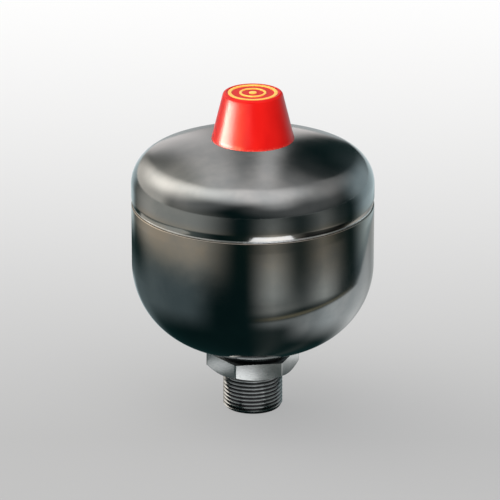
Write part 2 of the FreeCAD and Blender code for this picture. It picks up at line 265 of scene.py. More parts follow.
class DishedEnd:
    """The outline of one shell: a straight wall, a knuckle arc and a crown arc, tangent to each other."""

    def __init__(self, wall_height, knuckle, crown, side):
        self.side = side
        self.knuckle = knuckle
        self.crown = crown
        self.knuckle_centre = (outer_radius - knuckle, seam + side * wall_height)
        drop = math.sqrt((crown - knuckle) ** 2 - self.knuckle_centre[0] ** 2)
        self.crown_centre = (0.0, self.knuckle_centre[1] - side * drop)
        self.join_angle = math.atan2(drop, self.knuckle_centre[0])

    def height(self, radius, depth=0.0):
        """Height of the crown at a radius, or of the surface that lies a depth under it."""
        return self.crown_centre[1] + self.side * math.sqrt((self.crown - depth) ** 2 - radius**2)

    def radius(self, height, depth=0.0):
        """Radius at which the crown, or the surface a depth under it, has a height."""
        return math.sqrt((self.crown - depth) ** 2 - (height - self.crown_centre[1]) ** 2)

    def join(self, depth=0.0):
        """The point where the knuckle goes over to the crown."""
        reach = self.knuckle - depth
        return (
            self.knuckle_centre[0] + reach * math.cos(self.join_angle),
            self.knuckle_centre[1] + self.side * reach * math.sin(self.join_angle),
        )

    def inwards(self, outline, radius, depth=0.0, steps=28):
        """Draws from the straight wall over the knuckle to the crown at a radius."""
        outline.line(outer_radius - depth, self.knuckle_centre[1], 6)
        outline.arc(self.knuckle_centre, *self.join(depth), steps)
        return outline.arc(self.crown_centre, radius, self.height(radius, depth), steps)

    def outwards(self, outline, depth=0.0, steps=28):
        """Draws from the crown, where the outline has come to, out to the straight wall."""
        outline.arc(self.crown_centre, *self.join(depth), steps)
        return outline.arc(self.knuckle_centre, outer_radius - depth, self.knuckle_centre[1], steps)


def sealed(mesh):
    """Merges the doubles that a spin leaves and turns every face outwards."""
    bmesh.ops.remove_doubles(mesh, verts=mesh.verts[:], dist=MERGE_DISTANCE)
    bmesh.ops.recalc_face_normals(mesh, faces=mesh.faces[:])
    return mesh


def show(name, mesh, finish, slot, *nodes, body=VESSEL, sharp=30):
    """Puts a bmesh in the scene as a piece that rides on a body and stands for CAD nodes."""
    data = bpy.data.meshes.new(name)
    mesh.to_mesh(data)
    mesh.free()
    data.shade_smooth()
    data.set_sharp_from_angle(angle=math.radians(sharp))
    data.materials.append(finish)
    piece = bpy.data.objects.new(name, data)
    bpy.context.collection.objects.link(piece)
    if nodes:
        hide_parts(*nodes)
    if body:
        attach(piece, body)
    return piece


lower_end = DishedEnd(lower_wall_height, lower_knuckle_radius, lower_crown_radius, -1)
upper_end = DishedEnd(upper_wall_height, upper_knuckle_radius, upper_crown_radius, +1)


def lower_shell():
    round_centre = (outer_radius - lower_rim_round, weld_bottom - lower_rim_round)
    outline = Outline(outer_radius, round_centre[1])
    lower_end.inwards(outline, port_hole_radius)
    outline.line(port_hole_radius, lower_end.height(port_hole_radius, shell_wall))
    lower_end.outwards(outline, shell_wall)
    outline.line(inner_radius, weld_bottom)
    outline.line(round_centre[0], weld_bottom)
    outline.arc(round_centre, outer_radius - ARC_GAP, round_centre[1] + ARC_GAP, 6)
    return outline.turned()


def upper_shell():
    outline = Outline(outer_radius, weld_top + upper_lip_height)
    upper_end.inwards(outline, boss_hole_radius)
    outline.line(boss_hole_radius, upper_end.height(boss_hole_radius, shell_wall))
    upper_end.outwards(outline, shell_wall)
    outline.line(inner_radius, weld_top)
    outline.line(outer_radius - upper_lip_lean, weld_top)
    outline.bulge(outer_radius - ARC_GAP, weld_top + upper_lip_height - ARC_GAP, upper_lip_bulge, 6)
    return outline.turned()


def rippled(mesh, count, depth, inner, lean):
    """Moves a weld's outer face in and out in small waves round the axis, as the pool of a weld freezes."""
    for vert in mesh.verts:
        radius = math.hypot(vert.co.x, vert.co.y)
        reach = min(max((radius - inner) / ripple_run_in, 0.0), 1.0)
        phase = count * math.atan2(vert.co.y, vert.co.x) + lean * vert.co.z / MM
        sunk = depth * reach * (0.5 + 0.5 * math.cos(phase))
        vert.co.x *= 1 - sunk / radius
        vert.co.y *= 1 - sunk / radius
    return mesh


def girth_weld():
    face = outer_radius - weld_inset
    outline = Outline(inner_radius, weld_bottom)
    outline.line(face - weld_shoulder, weld_bottom)
    outline.line(face, weld_bottom)
    outline.bulge(face, weld_top, weld_crown, 6)
    outline.line(face - weld_shoulder, weld_top)
    outline.line(inner_radius, weld_top)
    bead = outline.turned(GIRTH_WELD_STEPS)
    return rippled(bead, girth_ripple_count, girth_ripple_depth, face - ripple_toe, girth_ripple_lean)


def port_weld():
    inner = port_hole_radius
    toe = inner + port_weld_width
    outer = toe + port_weld_spread
    outline = Outline(inner, hex_top)
    outline.line(toe, hex_top, 3)
    outline.bulge(outer, lower_end.height(outer), port_weld_bulge, 8)
    outline.arc(lower_end.crown_centre, inner, lower_end.height(inner), 3)
    fillet = outline.turned(PORT_WELD_STEPS)
    return rippled(fillet, port_ripple_count, port_ripple_depth, toe - ripple_toe, port_ripple_lean)


def hexagon_radius(angle):
    """Radius of the hexagon's side at an angle, with one flat facing -Y."""
    off_flat = (angle + math.radians(90) + math.radians(30)) % math.radians(60) - math.radians(30)
    return hex_flat_radius / math.cos(off_flat)


def fluid_port():
    """Threaded stud, hexagon and neck as one closed surface."""
    port = bmesh.new()

    # One turn of the thread, as a long profile that rises by a pitch as it goes round
    flank = (thread_pitch - thread_crest - thread_root) / 2
    root_radius = stud_radius - thread_depth
    height = -2 * thread_pitch
    thread = Outline(stud_radius, height, port)
    while height < stud_length + thread_pitch:
        thread.line(stud_radius, height + thread_crest)
        thread.line(root_radius, height + thread_crest + flank, 3)
        thread.line(root_radius - thread_root_relief, height + thread_crest + flank + thread_root / 2)
        thread.line(root_radius, height + thread_crest + flank + thread_root)
        height += thread_pitch
        thread.line(stud_radius, height, 3)
    bmesh.ops.spin(
        port, geom=port.verts[:] + port.edges[:], cent=(0, 0, 0), axis=(0, 0, 1),
        dvec=(0, 0, thread_pitch / SMALL_STEPS), angle=2 * math.pi, steps=SMALL_STEPS, use_duplicate=False,
    )
    bmesh.ops.remove_doubles(port, verts=port.verts[:], dist=THREAD_MERGE_DISTANCE)
    for level, way in ((0.0, -1), (stud_length, 1)):
        bmesh.ops.bisect_plane(
            port, geom=port.verts[:] + port.edges[:] + port.faces[:], dist=CUT_DISTANCE,
            plane_co=(0, 0, level), plane_no=(0, 0, way), clear_outer=True,
        )

    # The chamfer at the stud's end
    for vert in port.verts:
        radius = math.hypot(vert.co.x, vert.co.y)
        chamfer_radius = stud_radius - stud_chamfer + vert.co.z
        if radius > chamfer_radius:
            vert.co.x *= chamfer_radius / radius
            vert.co.y *= chamfer_radius / radius

    # Hexagon, neck, seat and bore, drawn from the hexagon's underside round to the stud's end
    body = Outline(stud_radius + thread_top_gap, stud_length, port)
    body.line(hex_face_radius, stud_length)
    body.line(hex_face_radius + hex_side_step, stud_length)
    lower_side = body.tip
    body.line(hex_face_radius + hex_side_step, hex_top)
    upper_side = body.tip
    body.line(hex_face_radius, hex_top)
    body.line(port_neck_radius, hex_top)
    body.line(port_neck_radius, port_seat)
    body.line(oil_bore_radius, port_seat)
    body.line(oil_bore_radius, oil_bore_chamfer, 4)
    body.line(oil_bore_radius + oil_bore_chamfer, 0)
    body.line(stud_radius - stud_chamfer - stud_end_land, 0)
    side_levels = (lower_side.co.copy(), upper_side.co.copy())
    bmesh.ops.spin(
        port, geom=body.parts(), cent=(0, 0, 0), axis=(0, 0, 1),
        angle=2 * math.pi, steps=SMALL_STEPS, use_merge=True, use_duplicate=False,
    )
    bmesh.ops.remove_doubles(port, verts=port.verts[:], dist=MERGE_DISTANCE)

    # The hexagon's sides, with the corners of the lower side turned off
    corners = []
    for vert in port.verts:
        radius = math.hypot(vert.co.x, vert.co.y)
        for side, turned_off in zip(side_levels, (1, 0)):
            if abs(radius - side.x) < SAME_PLACE and abs(vert.co.z - side.z) < SAME_PLACE:
                side_radius = hexagon_radius(math.atan2(vert.co.y, vert.co.x))
                drop = (side_radius - hex_face_radius) * math.tan(hex_chamfer_angle)
                vert.co = (
                    vert.co.x / radius * side_radius,
                    vert.co.y / radius * side_radius,
                    side.z + turned_off * drop,
                )
                if side_radius > hex_flat_radius / math.cos(math.radians(30)) - SAME_PLACE:
                    corners.append(vert)
                break
    corner_edges = [edge for edge in port.edges if all(vert in corners for vert in edge.verts)]
    bmesh.ops.bevel(
        port, geom=corner_edges, offset=hex_edge_soften, offset_type="OFFSET", segments=3,
        profile=0.5, affect="EDGES", material=-1, clamp_overlap=True,
    )

    # The thread's two cut ends are joined to the stud's end and to the hexagon's underside
    open_edges = [edge for edge in port.edges if edge.is_boundary]
    for level in (0.0, stud_length):
        rims = [
            edge for edge in open_edges
            if all(abs(vert.co.z - level) < SAME_PLACE for vert in edge.verts)
        ]
        bmesh.ops.bridge_loops(port, edges=rims)
    return sealed(port)


def protective_cap():
    """Tapered cap with a dished top, a sleeve that grips the boss and six ribs between sleeve and wall."""
    lean = (cap_base_radius - cap_top_radius) / (cap_top - cap_base)
    taper = math.atan(lean)
    wall_across = cap_wall / math.cos(taper)
    inside_top = boss_top + cap_headroom
    sleeve_radius = cap_bore_radius + cap_sleeve_wall
    sleeve_bottom = upper_end.height(boss_radius) + sleeve_clear
    pocket_top = cap_base + (cap_base_radius - wall_across - sleeve_radius - cap_pocket_land) / lean
    rim = cap_base_radius - wall_across
    round_centre = (
        cap_base_radius - (cap_top - cap_top_round - cap_base) * lean - cap_top_round / math.cos(taper),
        cap_top - cap_top_round,
    )
    dish_floor = cap_top - cap_dish_depth

    outline = Outline(0, dish_floor)
    outline.line(0, inside_top)
    outline.line(cap_bore_radius, inside_top, 4)
    outline.line(cap_bore_radius, sleeve_bottom, 4)
    outline.line(sleeve_radius, sleeve_bottom)
    outline.line(sleeve_radius, pocket_top, 3)
    outline.line(sleeve_radius + cap_pocket_land, pocket_top)
    outline.line(rim, upper_end.height(rim, -cap_gap), 4)
    foot = cap_base_radius - cap_base_round
    outline.arc(upper_end.crown_centre, foot, upper_end.height(foot, -cap_gap), 3)
    outline.bulge(cap_base_radius - cap_foot_rise * lean, cap_base + cap_foot_rise, cap_foot_bulge, 4)
    outline.line(
        round_centre[0] + cap_top_round * math.cos(taper),
        round_centre[1] + cap_top_round * math.sin(taper),
        10,
    )
    outline.arc(round_centre, round_centre[0], cap_top, 10)
    dish_radius = round_centre[0] - cap_dish_rim
    outline.line(dish_radius + cap_dish_edge, cap_top, 2)
    outline.bulge(dish_radius, cap_top - cap_dish_edge, cap_dish_edge_bulge, 3)
    outline.line(dish_radius, dish_floor + cap_dish_fillet)
    outline.line(dish_radius - cap_dish_fillet, dish_floor)
    outline.line(0, dish_floor, 6)
    cap = outline.turned(closed=False)

    # The ribs stand in the pocket, from the middle of the sleeve to the middle of the wall
    rib_top = pocket_top + cap_pocket_land
    rib_bottom = pocket_top - cap_rib_height
    rib_inner = sleeve_radius - cap_sleeve_wall / 2
    wall_middle = cap_base_radius - wall_across / 2
    for rib in range(cap_rib_count):
        turn = 2 * math.pi * rib / cap_rib_count
        web = bmesh.ops.create_cube(cap, size=1)["verts"]
        for vert in web:
            level = rib_top if vert.co.z > 0 else rib_bottom
            reach = wall_middle - (level - cap_base) * lean if vert.co.x > 0 else rib_inner
            vert.co = (reach, vert.co.y * cap_rib_thickness, level)
        bmesh.ops.rotate(cap, verts=web, cent=(0, 0, 0), matrix=Matrix.Rotation(turn, 3, "Z"))
    return cap


def cap_marking():
    """Two raised rings and a dot on the cap's dished top, in its second colour."""
    floor = cap_top - cap_dish_depth - cap_mark_sunk
    shoulder = cap_top - cap_mark_round
    marking = bmesh.new()
    for outer, width in zip(cap_mark_radii, cap_mark_widths):
        inner = outer - width
        outline = Outline(outer, floor, marking)
        outline.line(outer, shoulder)
        outline.arc((outer - cap_mark_round, shoulder), outer - cap_mark_round, cap_top, 4)
        outline.line(inner + cap_mark_round, cap_top, 2)
        outline.arc((inner + cap_mark_round, shoulder), inner, shoulder, 4)
        outline.line(inner, floor)
        outline.turned(SMALL_STEPS)
    dot = Outline(0, floor, marking)
    dot.line(cap_mark_dot_radius, floor)
    dot.line(cap_mark_dot_radius, shoulder)
    dot_round = cap_mark_dot_radius - cap_mark_round
    dot.arc((dot_round, shoulder), dot_round, cap_top, 4)
    dot.line(0, cap_top, 3)
    return dot.turned(SMALL_STEPS, closed=False)


def diaphragm():
    """Rubber diaphragm, drawn with enough rings to roll up with the button."""
    outer_depth = shell_wall + rubber_gap
    inner_depth = outer_depth + diaphragm_thickness
    button_top = button_bottom + button_thickness
    button_head_bottom = button_top + button_stem_height
    bead_bottom = bead_top - bead_height
    bead_inner = bead_outer - bead_width
    seat_radius = lower_end.radius(pad_low, outer_depth)
    recess = button_radius + moulded_gap
    stem = button_stem_radius + moulded_gap
    head = button_head_radius + moulded_gap
    pad_radius = head + pad_cover
    pad_top = button_head_top + moulded_gap + pad_cover
    pad_foot = pad_radius + pad_slope_width
    top_round_centre = (pad_radius - pad_top_round, pad_top - pad_top_round)
    bead_round_centre = (bead_outer - bead_round, bead_top - bead_round)

    outline = Outline(bead_outer, bead_round_centre[1])
    outline.line(bead_outer, lower_end.knuckle_centre[1] + diaphragm_wall_end, 12)
    lower_end.inwards(outline, seat_radius, outer_depth, 32)
    outline.line(recess, pad_low, 2)
    outline.line(recess, button_top + moulded_gap)
    outline.line(stem, button_top + moulded_gap)
    outline.line(stem, button_head_bottom - moulded_gap)
    outline.line(head, button_head_bottom - moulded_gap)
    outline.line(head, button_head_top + moulded_gap)
    outline.line(0, button_head_top + moulded_gap, 2)
    outline.line(0, pad_top)
    outline.line(top_round_centre[0], pad_top, 2)
    outline.arc(top_round_centre, pad_radius, top_round_centre[1], 5)
    outline.line(pad_foot, lower_end.height(pad_foot, inner_depth), 6)
    lower_end.outwards(outline, inner_depth, 32)
    outline.line(bead_outer - diaphragm_thickness, bead_bottom, 12)
    outline.line(bead_inner, bead_bottom)
    outline.line(bead_inner, bead_top, 3)
    outline.line(bead_round_centre[0], bead_top)
    outline.arc(bead_round_centre, bead_outer - ARC_GAP, bead_round_centre[1] + ARC_GAP, 5)
    return outline.turned(RUBBER_STEPS)


class Level:
    """A socket of a finish. Arithmetic on it adds Math nodes."""

    def __init__(self, finish, socket):
        self.finish = finish
        self.socket = socket

    def __add__(self, other):
        return self.finish.math("ADD", self, other)

    def __sub__(self, other):
        return self.finish.math("SUBTRACT", self, other)

    def __rsub__(self, other):
        return self.finish.math("SUBTRACT", other, self)

    def __mul__(self, other):
        return self.finish.math("MULTIPLY", self, other)

    def __truediv__(self, other):
        return self.finish.math("DIVIDE", self, other)

    __radd__ = __add__
    __rmul__ = __mul__


class Finish:
    """A node tree being built, for a material or for the world."""

    def __init__(self, owner):
        owner.use_nodes = True
        self.owner = owner
        self.tree = owner.node_tree

    def node(self, kind, settings=None, inputs=None, output=0):
        """Adds a node: its type, then its settings, then its values and links."""
        made = self.tree.nodes.new(kind)
        for name, value in (settings or {}).items():
            setattr(made, name, value)
        for name, value in (inputs or {}).items():
            self.give(made.inputs[name], value)
        return Level(self, made.outputs[output]) if made.outputs else None

    def math(self, operation, *values):
        return self.node("ShaderNodeMath", {"operation": operation}, dict(enumerate(values)))

    def give(self, socket, value):
        """Links a level to a socket, or sets the socket to a plain value."""
        if isinstance(value, Level):
            self.tree.links.new(value.socket, socket)
        else:
            socket.default_value = value

    def dress(self, **sockets):
        """Gives the material's own shader plain values or levels, and hands over the material."""
        for name, value in sockets.items():
            self.give(self.shader.inputs[name.replace("_", " ")], value)
        return self.owner

    def place(self):
        return self.node("ShaderNodeTexCoord", output="Object")

    def axes(self, place):
        parts = self.node("ShaderNodeSeparateXYZ", inputs={0: place})
        return [Level(self, socket) for socket in parts.socket.node.outputs]

    def dot(self, first, second):
        return self.node(
            "ShaderNodeVectorMath", {"operation": "DOT_PRODUCT"}, {0: first, 1: second}, "Value",
        )

    def radius(self, across, along):
        return self.math("SQRT", across * across + along * along)

    def stretched(self, place, x, y, z):
        return self.node("ShaderNodeVectorMath", {"operation": "MULTIPLY"}, {0: place, 1: (x, y, z)})

    def noise(self, place, scale, detail=3.0, roughness=0.5):
        return self.node(
            "ShaderNodeTexNoise", None,
            {"Vector": place, "Scale": scale, "Detail": detail, "Roughness": roughness},
        )

    def ramp(self, value, low, high, start=0.0, end=1.0):
        """Goes smoothly from start to end as the value goes from low to high."""
        return self.node(
            "ShaderNodeMapRange", {"interpolation_type": "SMOOTHSTEP"},
            {"Value": value, "From Min": low, "From Max": high, "To Min": start, "To Max": end},
        )

    def mix(self, factor, first, second):
        return self.node("ShaderNodeMix", {"data_type": "RGBA"}, {0: factor, 6: first, 7: second}, 2)

    def lights(self, *parts):
        """The sum of some levels of light, each with its own colour."""
        total = (0, 0, 0)
        for level, hue in parts:
            part = self.node("ShaderNodeVectorMath", {"operation": "SCALE"}, {0: hue, 3: level})
            total = self.node("ShaderNodeVectorMath", {"operation": "ADD"}, {0: total, 1: part})
        return total

    def bump(self, height, distance, strength=1.0, under=None):
        inputs = {"Height": height, "Distance": distance, "Strength": strength}
        if under:
            inputs["Normal"] = under
        return self.node("ShaderNodeBump", None, inputs)


def surface(name, **sockets):
    """A material whose Principled shader starts with these plain values."""
    finish = Finish(bpy.data.materials.new(name))
    finish.shader = finish.tree.nodes["Principled BSDF"]
    finish.dress(**sockets)
    return finish


def colour(red, green, blue):
    return (red, green, blue, 1.0)


def shell_steel():
    """Dark burnished steel with a mirror-like oil finish, straw-tinted where the girth weld has heated it,
    and with a painted dark reflection on one stretch of the upper shell's lip.
    """
    finish = surface("shell_steel", Metallic=1.0)
    place = finish.place()
    _, _, z = finish.axes(place)
    clouds = finish.noise(place, 28.0, 4.0, 0.6)
    mottle = finish.noise(place, 210.0, 3.0, 0.55)
    grain = finish.noise(finish.stretched(place, 1.0, 1.0, 14.0), 160.0, 2.0)
    cloudy = finish.ramp(clouds, 0.35, 0.68)
    steel = finish.mix(cloudy, colour(0.165, 0.182, 0.188), colour(0.225, 0.236, 0.238))
    heat_low = finish.ramp(z, seam - 30 * MM, seam - 3 * MM)
    heat_high = finish.ramp(z, seam + 1 * MM, seam + 8 * MM, 1.0, 0.0)
    heat = heat_low * heat_high * finish.ramp(clouds, 0.3, 0.7, 0.35, 1.0)
    tinted = finish.mix(heat * 0.75, steel, colour(0.275, 0.225, 0.165))
    # Painted dark reflection: a near-black stretch of the upper shell's lip, on the camera's right of the
    # axis, stands in for the dark that the lip would mirror there.
    across = finish.dot(place, toward(90))
    lip_top = weld_top + upper_lip_height
    on_lip = finish.ramp(z, weld_top - 0.1 * MM, weld_top)
    on_lip = on_lip * finish.ramp(z, lip_top - 0.3 * MM, lip_top, 1.0, 0.0)
    painted_dark_reflection = on_lip * finish.ramp(across, 20 * MM, 27 * MM)
    painted_dark_reflection = painted_dark_reflection * finish.ramp(across, 43 * MM, 49 * MM, 1.0, 0.0)
    tinted = finish.mix(painted_dark_reflection * 0.92, tinted, colour(0.012, 0.014, 0.015))
    rough = finish.ramp(z, seam + 12 * MM, seam + 24 * MM, 0.09, 0.12)
    rough = rough + 0.04 * finish.ramp(clouds, 0.3, 0.7) + 0.02 * mottle
    ripple = finish.bump(grain, 0.003 * MM, 0.3)
    relief = finish.bump(mottle, 0.008 * MM, 0.4, ripple)
    return finish.dress(Base_Color=tinted, Roughness=rough, Normal=relief)


def weld_steel(name, pale, dark, oxide):
    """Weld metal, paler in patches and speckled with oxide."""
    finish = surface(name, Metallic=1.0)
    place = finish.place()
    clouds = finish.noise(place, 90.0, 4.0, 0.6)
    speckle = finish.noise(place, 900.0, 2.0)
    metal = finish.mix(finish.ramp(clouds, 0.35, 0.7), colour(*dark), colour(*pale))
    metal = finish.mix(finish.ramp(speckle, 0.6, 0.8) * 0.5, metal, colour(*oxide))
    relief = finish.bump(speckle, 0.02 * MM, 0.5)
    return finish.dress(Base_Color=metal, Roughness=0.24 + 0.16 * speckle, Normal=relief)


def turned_steel(name, pale, dark, base_roughness):
    """Satin steel with fine turning marks and a little oil staining. The caller gives it its colour."""
    finish = surface(name, Metallic=1.0)
    place = finish.place()
    x, y, z = finish.axes(place)
    radius = finish.radius(x, y)
    clouds = finish.noise(place, 120.0, 4.0, 0.6)
    rings = finish.node("ShaderNodeCombineXYZ", None, {0: radius, 2: z})
    marks = finish.noise(rings, 2600.0, 2.0)
    metal = finish.mix(finish.ramp(clouds, 0.3, 0.72), colour(*dark), colour(*pale))
    darker = colour(*[value * 0.6 for value in dark])
    metal = finish.mix(finish.ramp(marks, 0.45, 0.75) * 0.22, metal, darker)
    rough = base_roughness + 0.10 * marks + 0.08 * clouds
    finish.dress(Roughness=rough, Normal=finish.bump(marks, 0.004 * MM, 0.3))
    return finish, metal, radius, z


def port_steel():
    """The turned finish of the fluid port, with painted shade that darkens the thread's roots nearly to
    black.
    """
    finish, metal, radius, z = turned_steel("port_steel", (0.48, 0.49, 0.49), (0.42, 0.43, 0.43), 0.12)
    # Painted shade: the thread's roots, below the crests, are darkened to near black.
    in_thread = finish.ramp(z, stud_length - 0.2 * MM, stud_length + 0.1 * MM, 1.0, 0.0)
    root_shade_mask = finish.ramp(radius, stud_radius - 1.05 * MM, stud_radius - 0.15 * MM, 1.0, 0.0)
    outside = finish.ramp(radius, stud_radius - 2.2 * MM, stud_radius - 1.7 * MM)
    metal = finish.mix(in_thread * root_shade_mask * outside * 0.85, metal, colour(0.03, 0.032, 0.034))
    return finish.dress(Base_Color=metal)


def plain_turned_steel(name, pale, dark, base_roughness):
    """The turned finish with nothing more on it."""
    finish, metal, *_ = turned_steel(name, pale, dark, base_roughness)
    return finish.dress(Base_Color=metal)


def cap_plastic():
    """Glossy red moulding with faint flow marks, and a painted highlight: a paler pink band just above its
    base edge.
    """
    finish = surface("cap_plastic", IOR=1.5, Specular_IOR_Level=0.10)
    place = finish.place()
    _, _, z = finish.axes(place)
    flow = finish.noise(finish.stretched(place, 1.0, 1.0, 0.35), 90.0, 3.0, 0.5)
    grain = finish.noise(place, 1500.0, 2.0)
    red = finish.mix(finish.ramp(flow, 0.3, 0.72), colour(0.43, 0.004, 0.0035), colour(0.50, 0.007, 0.005))
    # Painted highlight: a paler pink band, broken up by grain, just above the cap's base edge where its
    # rounded rim catches the light. It is also made a little rougher there.
    near_rim = finish.ramp(z, cap_base + 0.3 * MM, cap_base + 1.6 * MM, 1.0, 0.0)
    painted_rim_highlight = near_rim * finish.ramp(grain, 0.4, 0.7)
    red = finish.mix(painted_rim_highlight * 0.35, red, colour(0.85, 0.20, 0.15))
    rough = 0.28 + 0.08 * flow + 0.10 * painted_rim_highlight
    return finish.dress(Base_Color=red, Roughness=rough, Normal=finish.bump(grain, 0.006 * MM, 0.5))


def cap_yellow():
    """Yellow second colour on the cap's raised rings."""
    finish = surface("cap_yellow")
    place = finish.place()
    film = finish.noise(place, 400.0, 3.0, 0.6)
    yellow = finish.mix(finish.ramp(film, 0.35, 0.7), colour(0.78, 0.36, 0.045), colour(0.86, 0.47, 0.085))
    relief = finish.bump(film, 0.01 * MM, 0.4)
    return finish.dress(Base_Color=yellow, Roughness=0.30 + 0.12 * film, Normal=relief)


def rubber(name, pale, dark):
    """Matt moulded rubber with a fine grain and a bloom that lightens it in patches."""
    finish = surface(name)
    place = finish.place()
    bloom = finish.noise(place, 60.0, 4.0, 0.6)
    grain = finish.noise(place, 1400.0, 2.0)
    black = finish.mix(finish.ramp(bloom, 0.4, 0.75), colour(*dark), colour(*pale))
    relief = finish.bump(grain, 0.02 * MM, 0.5)
    return finish.dress(Base_Color=black, Roughness=0.58 + 0.15 * bloom, Normal=relief)


shell_finish = shell_steel()
weld_finish = weld_steel("weld_steel", (0.78, 0.78, 0.77), (0.55, 0.56, 0.56), (0.30, 0.26, 0.22))
port_weld_finish = weld_steel(
    "port_weld_steel", (0.15, 0.165, 0.17), (0.08, 0.09, 0.095), (0.05, 0.045, 0.04),
)
port_finish = port_steel()
ring_finish = plain_turned_steel("ring_steel", (0.56, 0.56, 0.55), (0.42, 0.42, 0.42), 0.24)
boss_finish = plain_turned_steel("boss_steel", (0.50, 0.51, 0.52), (0.36, 0.37, 0.38), 0.26)
cap_finish = cap_plastic()
yellow_finish = cap_yellow()
diaphragm_finish = rubber("diaphragm_rubber", (0.05, 0.05, 0.048), (0.022, 0.022, 0.022))
seal_finish = rubber("seal_rubber", (0.04, 0.04, 0.04), (0.018, 0.018, 0.018))

show("lower_shell_skin", lower_shell(), shell_finish, "shell_steel", "lower_shell")
upper_skin = show("upper_shell_skin", upper_shell(), shell_finish, "shell_steel", "upper_shell")
bead = show("girth_weld_bead", girth_weld(), weld_finish, "weld_steel", "girth_weld", sharp=50)
show("port_weld_bead", port_weld(), port_weld_finish, "weld_steel", "port_weld", sharp=50)
port = show("threaded_port", fluid_port(), port_finish, "port_steel", "fluid_port", sharp=25)
cap = show("moulded_cap", protective_cap(), cap_finish, "cap_plastic", "protective_cap")
marking = show("cap_marking", cap_marking(), yellow_finish, "cap_plastic")
membrane = show(
    "rolling_diaphragm", diaphragm(), diaphragm_finish, "diaphragm_rubber", "diaphragm", body=None,
)
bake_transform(membrane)

inner_finishes = {
    "gas_boss": boss_finish,
    "gas_boss_weld": port_weld_finish,
    "charging_screw": boss_finish,
    "charging_screw_seal": seal_finish,
    "clamp_ring": ring_finish,
    "closing_button": ring_finish,
}
for node, finish in inner_finishes.items():
    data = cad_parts[node].data
    data.materials.clear()
    data.materials.append(finish)

# Camera at the photograph's angle, in degrees above level, far off on a long lens
camera_elevation = 20.5
camera_distance = 2.083
look_height = 82.96 * MM
look_left = 1.4 * MM


def aim(thing, spot, at):
    thing.location = spot
    thing.rotation_euler = (at - spot).to_track_quat("-Z", "Y").to_euler()


look_at = Vector((0, 0, look_height)) - toward(90) * look_left
camera = bpy.data.objects.new("photo_camera", bpy.data.cameras.new("photo_camera"))
camera.data.lens = 300
camera.data.sensor_width = 36
camera.data.clip_start = 0.05
camera.data.clip_end = 50
bpy.context.collection.objects.link(camera)
aim(camera, look_at + toward(0, camera_elevation) * camera_distance, look_at)
bpy.context.scene.camera = camera


def disc(name, radius, height, finish):
    """A flat round sheet about the vessel's axis, turned to the camera's side."""
    mesh = bmesh.new()
    bmesh.ops.create_circle(mesh, cap_ends=True, segments=DISC_STEPS, radius=radius)
    data = bpy.data.meshes.new(name)
    mesh.to_mesh(data)
    mesh.free()
    data.materials.append(finish.owner)
    sheet = bpy.data.objects.new(name, data)
    bpy.context.collection.objects.link(sheet)
    sheet.rotation_euler = (0, 0, camera_azimuth)
    sheet.location = (0, 0, height)
    return sheet


# The floor's paleness as the camera sees it: at the object, its rise and curve towards the back, and its
# fall beyond a distance in metres
paleness_at_object = 0.555
paleness_rise = 0.58
paleness_curve = 0.40
fall_from = 0.2
paleness_fall = 0.78
paleness_least = 0.53

# The paper under it is a little darker and bluer, and part of what the camera sees is the paper's own glow
paper_share = 0.88
paper_most = 0.85
paper_hue = (0.94, 1.0, 1.04)
glow_share = 0.72
floor_radius = 6.0
floor_height = -0.02 * MM
cards_radius = 5.5
cards_height = 0.1 * MM

floor_finish = surface("floor_paper", Roughness=0.9, Specular_IOR_Level=0.0)
_, floor_back, _ = floor_finish.axes(floor_finish.place())
beyond = floor_finish.math("MAXIMUM", floor_back - fall_from, 0.0)
paleness = paleness_at_object + paleness_rise * floor_back + paleness_curve * floor_back * floor_back
paleness = floor_finish.math("MAXIMUM", paleness - paleness_fall * beyond * beyond, paleness_least)
paper_level = floor_finish.math("MINIMUM", paleness * paper_share, paper_most)
floor_finish.dress(Base_Color=floor_finish.lights((paper_level, paper_hue)))
paper_shader = Level(floor_finish, floor_finish.shader.outputs[0])
own_glow = floor_finish.node("ShaderNodeEmission", None, {"Color": paleness, "Strength": 1.0})
seen = floor_finish.node("ShaderNodeLightPath", output="Is Camera Ray")
both = floor_finish.node("ShaderNodeMixShader", None, {0: seen * glow_share, 1: paper_shader, 2: own_glow})
floor_finish.give(floor_finish.tree.nodes["Material Output"].inputs["Surface"], both)
floor = disc("floor", floor_radius, floor_height, floor_finish)

# Cards laid on the floor round the object, out of the picture: the gloss of the shells shows them
card_finish = Finish(bpy.data.materials.new("cards"))
card_finish.tree.nodes.clear()
card_x, card_y, _ = card_finish.axes(card_finish.place())
card_reach = card_finish.radius(card_x, card_y)


def sector(azimuth, half_width, soft):
    """1 within a sector of the floor and 0 outside it, in degrees from the camera's side."""
    turn = math.radians(azimuth)
    along = (card_x * math.sin(turn) - card_y * math.cos(turn)) / card_reach
    off = card_finish.math("ARCCOSINE", along) * math.degrees(1)
    return card_finish.ramp(off, half_width - soft, half_width + soft, 1.0, 0.0)


def band(near, far, soft):
    """1 between two distances from the object's axis and 0 elsewhere."""
    near_end = card_finish.ramp(card_reach, near - soft, near + soft)
    return near_end * card_finish.ramp(card_reach, far - soft, far + soft, 1.0, 0.0)


# A big round pale card lies under the right side, with a dark gap and a fainter one beyond its edge
FAR = floor_radius
round_card_across = 11 * MM
round_card_back = 102 * MM
round_card_radius = 221 * MM
from_round_card = card_finish.radius(card_x - round_card_across, card_y - round_card_back) - round_card_radius
on_round_card = card_finish.ramp(from_round_card, -7 * MM, 4 * MM, 1.0, 0.0)
past_round_card = card_finish.ramp(from_round_card, 10 * MM, 42 * MM, 0.12, 1.0)
pale_round = (
    sector(20, 14, 12) * 0.5 * band(106 * MM, FAR, 22 * MM)
    + (sector(55, 18, 14) * 0.75 + sector(95, 28, 16) * 1.1 + sector(145, 25, 12) * 0.5)
    * band(76 * MM, FAR, 28 * MM)
) * on_round_card
round_edge = sector(50, 40, 14) * 0.42 * card_finish.ramp(from_round_card, 2 * MM, 6 * MM)
round_edge = round_edge * card_finish.ramp(from_round_card, 11 * MM, 22 * MM, 1.0, 0.0)
